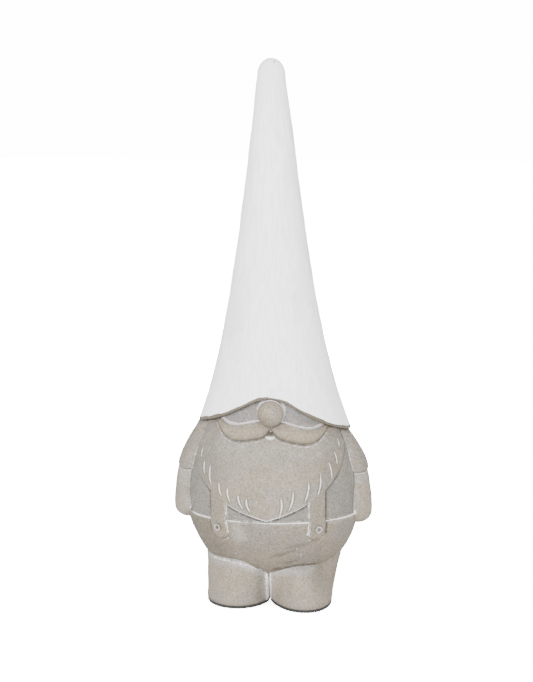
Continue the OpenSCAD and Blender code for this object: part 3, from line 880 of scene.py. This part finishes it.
def build_beard():
    th = np.linspace(-BEARD_HALF, BEARD_HALF, 320)[:, None]
    v = np.linspace(0, 1, 220)[None, :] ** 1.25
    edge = beard_edge(th)
    mid = np.where(np.abs(th) < MOUSTACHE_HALF + 3, lobe_mid(th), (lobe_mid(th) + 169) / 2)
    top = np.minimum(mid, brim_height(th) - 1.0)
    z = mix(edge, top, v)
    th = th + 0 * z
    from_edge = edge_distance(th, z, beard_edge)
    from_side = arc(BEARD_HALF - np.abs(th), th, z)
    inside = np.minimum(from_edge, from_side)
    swell = smooth((z - edge) / 36) * (1 - smooth((v - 0.6) / 0.4)) * (1 - (th / 75) ** 2)
    thick = BEARD_EDGE_T + BEARD_SWELL * swell
    strokes, stroke_shade = stroke_field(th, z)
    points = on_body(th, z)
    out = seat(z) + thick * rounded(inside, 2.0) - 0.3
    out = out + 0.3 * lumps(points, 24, 51) * smooth(inside / 6) - 1.1 * strokes
    low_rim = ridge(inside - 0.9, 0.55) * smooth((112 - z) / 16)
    under = lobe_mid(th) - lobe_half(th) - z
    slurry = np.maximum(0.85 * low_rim, strokes * 1.3)
    slurry = np.maximum(slurry, 0.5 * ridge(under - 2.6, 0.7) * (np.abs(th) < MOUSTACHE_HALF))
    rub = smooth(0.6 + 0.7 * lumps(points, 60, 52) - np.abs(z - 112) / 55)
    film = 0.35 * smooth((z - 128) / 26)
    # Painted shade: a painted shadow under the moustache, dark lines along the beard's edge and
    # beside the strokes, and darker sides
    cavity = np.maximum(0.85 * ridge(under - 0.6, 1.3), 0.7 * ridge(inside, 0.6))
    cavity = np.maximum(cavity, 0.75 * stroke_shade)
    cavity = np.maximum(cavity, 0.32 * smooth((np.abs(th) - 26) / 20))
    masks = {"slurry": slurry, "film": film * (1 - 0.5 * rub), "cavity": cavity, "worn": rub}
    return relief("beard_cast", th, z, out, seat(z) - 1.0, masks, PALE, ["beard"])


def build_moustache(side):
    name = SIDE_NAME[side]
    th = side * mix(0.25, MOUSTACHE_HALF, np.linspace(0, 1, 170)[:, None])
    th = th if side == LEFT else th[::-1]
    v = np.sin(np.linspace(-math.pi / 2, math.pi / 2, 70))[None, :]
    z = lobe_mid(th) + lobe_half(th) * v
    th = th + 0 * z
    full = MOUSTACHE_T * (lobe_half(th) / 7.6) ** 0.6
    tip = smooth((MOUSTACHE_HALF - np.abs(th)) / 4)
    roll = np.sqrt(np.clip(1 - v * v, 0, 1)) ** 0.8
    base = mix(2.6, -0.4, smooth(v * 0.8 + 0.35))
    points = on_body(th, z)
    out = base + (full - base) * roll * (0.4 + 0.6 * tip) + 0.2 * lumps(points, 14, 61)
    outward = smooth((np.abs(th) - 8) / 10)
    slurry = 1.1 * smooth((v - 0.86) / 0.1) * outward + 0.6 * smooth((3 - np.abs(th)) / 3)
    # Painted shade: the lower roll of each moustache half is darker
    cavity = np.maximum(0.75 * smooth((-v - 0.84) / 0.1), 0.4 * smooth((-v - 0.1) / 0.9))
    film = 0.4 * smooth((v - 0.3) / 0.5)
    masks = {"slurry": slurry, "film": film, "cavity": cavity, "worn": 0.9 + 0 * z}
    node = f"{name}_moustache"
    back = base - 1.5
    return relief(f"{node}_cast", th, z, out, back, masks, FACE, [node])


def ball(centre, radius, seed, squash=1.0, count=96):
    """A slightly uneven ball."""
    lat = np.linspace(-math.pi / 2 + 0.03, math.pi / 2 - 0.03, count // 2)[:, None]
    lon = np.radians(turn(count))[None, :]
    unit = np.stack(
        [np.cos(lat) * np.sin(lon), -np.cos(lat) * np.cos(lon), np.sin(lat) + 0 * lon], axis=-1
    )
    points = unit * radius
    points[..., 2] *= squash
    points = points * (1 + 0.012 * lumps(points, radius * 1.6, seed)[..., None])
    return centre + points, unit


def build_nose():
    points, unit = ball(np.array([0.0, NOSE_Y, NOSE_Z]), NOSE_R + 0.1, 71, count=128)
    contact = smooth((unit[..., 1] + 0.28) / 0.25)
    # The lime ring round the nose is brighter on the upper right as a painted highlight; the lower
    # left and the back, where it meets the face, are darker as painted shade
    lit_side = smooth(unit[..., 2] * 0.8 + unit[..., 0] * 0.7 + 0.35)
    shaded_side = smooth(0.3 - unit[..., 2] * 0.8 - unit[..., 0] * 0.5)
    slurry = contact * (0.35 + 0.65 * lit_side)
    cavity = np.maximum(0.8 * contact * shaded_side, 0.3 * smooth((unit[..., 1] + 0.65) / 0.4))
    cavity = np.maximum(cavity, 0.55 * smooth(0.15 - unit[..., 2] * 0.7 - unit[..., 0] * 0.5))
    masks = {"slurry": slurry, "film": 0 * contact, "cavity": cavity, "worn": 0.4 + 0 * contact}
    return skin("nose_cast", points, masks, FACE, ["nose"])


def build_lip():
    low, high = node_box("lower_lip")
    centre = (low + high) / 2 + np.array([0.0, 1.2, 0.6])
    points, unit = ball(centre, (high[0] - low[0]) / 2 + 0.8, 72, 0.75, 64)
    # Painted shadow: the top of the lip, under the nose, is dark; lime gathers on its underside
    masks = {
        "slurry": smooth((-unit[..., 2] + 0.1) / 0.3),
        "film": 0.6 + 0 * unit[..., 0],
        "cavity": 0.95 * smooth((unit[..., 2] - 0.1) / 0.3),
        "worn": 0 * unit[..., 0],
    }
    return skin("lower_lip_cast", points, masks, FACE, ["lower_lip"])


def crown_of(th, mid, half):
    return np.sqrt(np.clip(1 - ((th - mid) / half) ** 2, 0, 1))


def arm_drop(side):
    return -side * ARM_SKEW / 2


HEM_DROOP = {LEFT: 1.8, RIGHT: 4.0}


def hem_height(side, front):
    return HEM_Z + arm_drop(side) - HEM_DROOP[side] * smooth(front * 1.2)


def build_sleeve(side):
    name = SIDE_NAME[side]
    mid, half = side * ARM_ANGLE, ARM_HALF + 1
    th = across_strip(mid, half, 100)[:, None]
    front = side * (mid - th) / half
    hem = hem_height(side, front)
    top = brim_height(th) - 0.6
    v = np.linspace(0, 1, 80)[None, :] ** 1.2
    z = mix(hem, top, v)
    th = th + 0 * z
    full = mix(CUFF_T, SHOULDER_T - side, v * v * 0.6 + v * 0.4)
    cuff = rounded(z - hem, 1.2)
    crown = crown_of(th, mid, half)
    points = on_body(th, z)
    out = full * crown**0.9 * (0.88 + 0.12 * cuff) - 0.3
    out = out + 0.25 * lumps(points, 20, 80 + side) * crown
    low = crown**0.9 + (front < 0)
    # Painted shade: a dark line along the hem, and darkening at the top under the hat brim
    masks = {
        "slurry": 0.62 * ridge(low, 0.11),
        "film": np.maximum(0.35 * ridge(low, 0.35), 0.3 * smooth((z - 158) / 12)),
        "cavity": 0.8 * ridge(z - hem, 0.6) + 0.5 * smooth((z - top + 5) / 5),
        "worn": 0.5 * crown,
    }
    node = f"{name}_sleeve"
    return relief(f"{node}_cast", th, z, out, -1.0 + 0 * z, masks, SLEEVE, [node])


def build_forearm(side):
    name = SIDE_NAME[side]
    mid, half = side * ARM_ANGLE, ARM_HALF
    th = across_strip(mid, half, 100)[:, None]
    front = side * (mid - th) / half
    hem = hem_height(side, front)
    low = HAND_Z + arm_drop(side)
    bottom = low + 12 * (1 - crown_of(th, mid, half * 1.01))
    v = np.linspace(0, 1, 110)[None, :] ** 1.35
    z = mix(bottom, hem + 1.5, v)
    th = th + 0 * z
    crown = crown_of(th, mid, half)
    full = mix(HAND_T, WRIST_T, smooth((z - low - 12) / (HEM_Z - low - 12)))
    fist = rounded(z - bottom, HAND_ROUND)
    points = on_body(th, z)
    out = seat(z) + (full - seat(z)) * fist**0.8 * crown**0.9 - 0.3
    out = out + 0.25 * lumps(points, 22, 84 + side) * crown
    low_wall = crown**0.9 + (front < 0)
    # Painted shadow under the sleeve's hem, and painted shade on the rounded underside of the fist
    hem_shadow = np.exp(-np.maximum(hem - z, 0) / 0.8)
    hem_line = ridge(hem - z - 1.6, 0.6) * smooth((front + 0.2) / 0.6)
    wall_lime = (0.4 + 0.35 * smooth((96 - z) / 14)) * ridge(low_wall, 0.13)
    masks = {
        "slurry": np.maximum(wall_lime, 0.6 * hem_line),
        "film": np.maximum(0.4 * ridge(low_wall, 0.4), 0.4 * smooth((z - 96) / 25)),
        "cavity": np.maximum(0.9 * hem_shadow, 0.3 * (1 - fist)),
        "worn": 0.7 * crown,
    }
    node = f"{name}_forearm"
    back = seat(z) - 1.0
    return relief(f"{node}_cast", th, z, out, back, masks, PALE, [node])


def under_beard(th):
    return beard_edge(th) + 1.5


def under_hat(th):
    return BRIM_Z + 6 + 0 * th


def build_brace(node, mid, top_at):
    th = across_strip(mid, BRACE_HALF, 60)[:, None]
    gap = (th - mid) / BRACE_HALF
    inward = -gap * math.copysign(1, mid)
    bottom = BRACE_END + BRACE_ROUND * (1 - crown_of(th, mid, BRACE_HALF * 1.01))
    top = top_at(th)
    v = np.linspace(0, 1, 120)[None, :]
    z = mix(bottom, top, v)
    th = th + 0 * z
    from_edge = np.minimum(arc(BRACE_HALF, mid, 80.0) * (1 - np.abs(gap)), z - bottom)
    points = on_body(th, z)
    out = seat(z) + BRACE_T * rounded(from_edge, 1.3) - 0.3 + 0.15 * lumps(points, 12, 90)
    rim = ridge(from_edge - 0.2, 0.6)
    # Lime along the edge nearer the middle; painted shade along the outer edge
    masks = {
        "slurry": 0.5 * rim * smooth(inward * 2),
        "film": 0.2 * smooth(inward),
        "cavity": 0.8 * rim * smooth(-inward * 2),
        "worn": smooth(from_edge / 3),
    }
    return relief(f"{node}_cast", th, z, out, seat(z) - 1.0, masks, CLOTH, [node])


def build_button(node, th):
    """A turned ring round a dimple, a little worn."""
    profile_r = [0.0, BUTTON_R, BUTTON_R, BUTTON_R - 0.35, BUTTON_R - 1.0]
    profile_r += [BUTTON_R - 1.7, BUTTON_R - 2.3, 0.8, 0.05]
    profile_h = [-1.0, -1.0, 0.9, 1.6, 1.9, 1.5, 0.7, 0.5, 0.5]
    corners = np.arange(len(profile_r))
    steps = np.linspace(0, len(corners) - 1, 40)
    r = np.interp(steps, corners, profile_r)[:, None]
    h = np.interp(steps, corners, profile_h)[:, None]
    a = np.radians(turn(64))[None, :]
    local = np.stack([r * np.cos(a), r * np.sin(a), h + 0 * a], axis=-1)
    basis, origin = body_frame(th, BUTTON_Z, WAIST_STEP + BRACE_T - 0.2)
    points = local @ basis.T + origin
    dimple = smooth((2.0 - r) / 0.8) + 0 * a
    groove = ridge(r - BUTTON_R - 0.1, 0.5) + 0 * a
    # Painted shade in the dimple and in the groove round the ring
    masks = {
        "slurry": 0.5 * ridge(r - BUTTON_R + 1.0, 0.6) + 0 * a,
        "film": 0.6 + 0 * dimple,
        "cavity": 0.95 * np.maximum(dimple, groove),
        "worn": 1 - dimple,
    }
    return skin(f"{node}_cast", points, masks, PALE, [node])


build_hat()
build_torso()
build_trousers()
build_beard()
build_nose()
build_lip()
for limb_side in (LEFT, RIGHT):
    build_leg(limb_side)
    build_moustache(limb_side)
    build_sleeve(limb_side)
    build_forearm(limb_side)
for brace_side in (LEFT, RIGHT):
    side_name = SIDE_NAME[brace_side]
    front_mid, rear_mid = front_brace_angle(brace_side), brace_side * REAR_BRACE
    build_brace(f"{side_name}_front_brace", front_mid, under_beard)
    build_brace(f"{side_name}_rear_brace", rear_mid, under_hat)
    build_button(f"{side_name}_front_button", front_mid)
    build_button(f"{side_name}_rear_button", rear_mid)

# The inner pieces and the pads keep their CAD shapes
MORTAR = cement("mortar", 0.2, 0.02)
FOAM = foam()
for node, material in (
    ("hat_rod", steel()),
    ("hat_mortar_ring", MORTAR),
    ("left_foot_pad", FOAM),
    ("right_foot_pad", FOAM),
):
    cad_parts[node].data.materials.clear()
    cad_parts[node].data.materials.append(material)


# ---- camera, light and floor ----

CAMERA_DISTANCE = 1.6
CAMERA_HEIGHT = 0.43
CAMERA_YAW = math.radians(2.7)
CAMERA_ROLL = math.radians(0.4)
CAMERA_LENS = 92.2
CAMERA_AIM = Vector((-0.0069, 0.0, 0.2416))
SKY_LIGHT = 1.5
SKY_SEEN = 15.0
FLOOR_SEEN = 11.0
KEY_WATTS = 95
BACK_WATTS = 70
TOP_WATTS = 15


def add_camera():
    data = bpy.data.cameras.new("camera")
    data.lens = CAMERA_LENS
    data.sensor_width = 36
    camera = bpy.data.objects.new("camera", data)
    bpy.context.scene.collection.objects.link(camera)
    place = Vector(
        (
            math.sin(CAMERA_YAW) * CAMERA_DISTANCE,
            -math.cos(CAMERA_YAW) * CAMERA_DISTANCE,
            CAMERA_HEIGHT,
        )
    )
    ahead = (CAMERA_AIM - place).normalized()
    aside = ahead.cross(Vector((0, 0, 1))).normalized()
    up = aside.cross(ahead)
    turned_aside = aside * math.cos(CAMERA_ROLL) + up * math.sin(CAMERA_ROLL)
    turned_up = up * math.cos(CAMERA_ROLL) - aside * math.sin(CAMERA_ROLL)
    matrix = Matrix((turned_aside, turned_up, -ahead)).transposed().to_4x4()
    matrix.translation = place
    camera.matrix_world = matrix
    bpy.context.scene.camera = camera


def add_softbox(name, place, aim, size, watts):
    data = bpy.data.lights.new(name, "AREA")
    data.shape = "SQUARE"
    data.size = size
    data.energy = watts
    light = bpy.data.objects.new(name, data)
    bpy.context.scene.collection.objects.link(light)
    light.location = place
    light.rotation_euler = (Vector(aim) - Vector(place)).to_track_quat("-Z", "Y").to_euler()


def add_studio():
    """Pale floor and soft light. What the camera sees of the surroundings is brighter than
    the light that they give, as on a lit white sweep."""
    bpy.ops.mesh.primitive_plane_add(size=60)
    floor = bpy.context.object
    floor.name = "floor"
    paper = bpy.data.materials.new("floor_paper")
    paper.use_nodes = True
    tree = paper.node_tree
    tree.nodes.clear()
    seen = tree.nodes.new("ShaderNodeLightPath").outputs["Is Camera Ray"]
    bounce, sight = (tree.nodes.new("ShaderNodeBsdfDiffuse") for _ in range(2))
    bounce.inputs["Color"].default_value = grey(0.9)
    sight.inputs["Color"].default_value = grey(FLOOR_SEEN)
    either = tree.nodes.new("ShaderNodeMixShader")
    tree.links.new(seen, either.inputs[0])
    tree.links.new(bounce.outputs[0], either.inputs[1])
    tree.links.new(sight.outputs[0], either.inputs[2])
    output = tree.nodes.new("ShaderNodeOutputMaterial")
    tree.links.new(either.outputs[0], output.inputs["Surface"])
    floor.data.materials.append(paper)

    world = bpy.data.worlds.new("studio")
    world.use_nodes = True
    tree = world.node_tree
    sky = tree.nodes["Background"]
    seen = tree.nodes.new("ShaderNodeLightPath").outputs["Is Camera Ray"]
    strength = tree.nodes.new("ShaderNodeMapRange")
    tree.links.new(seen, strength.inputs["Value"])
    strength.inputs["To Min"].default_value = SKY_LIGHT
    strength.inputs["To Max"].default_value = SKY_SEEN
    tree.links.new(strength.outputs["Result"], sky.inputs["Strength"])
    sky.inputs["Color"].default_value = (1, 1, 1, 1)
    bpy.context.scene.world = world
    add_softbox("key", (-0.2, -2.25, 0.75), (0, 0, 0.24), 0.6, KEY_WATTS)
    add_softbox("back", (0.3, 2.2, 0.9), (0, 0, 0.24), 0.6, BACK_WATTS)
    add_softbox("top", (0.2, -0.6, 2.2), (0, 0, 0.2), 0.9, TOP_WATTS)


add_camera()
add_studio()
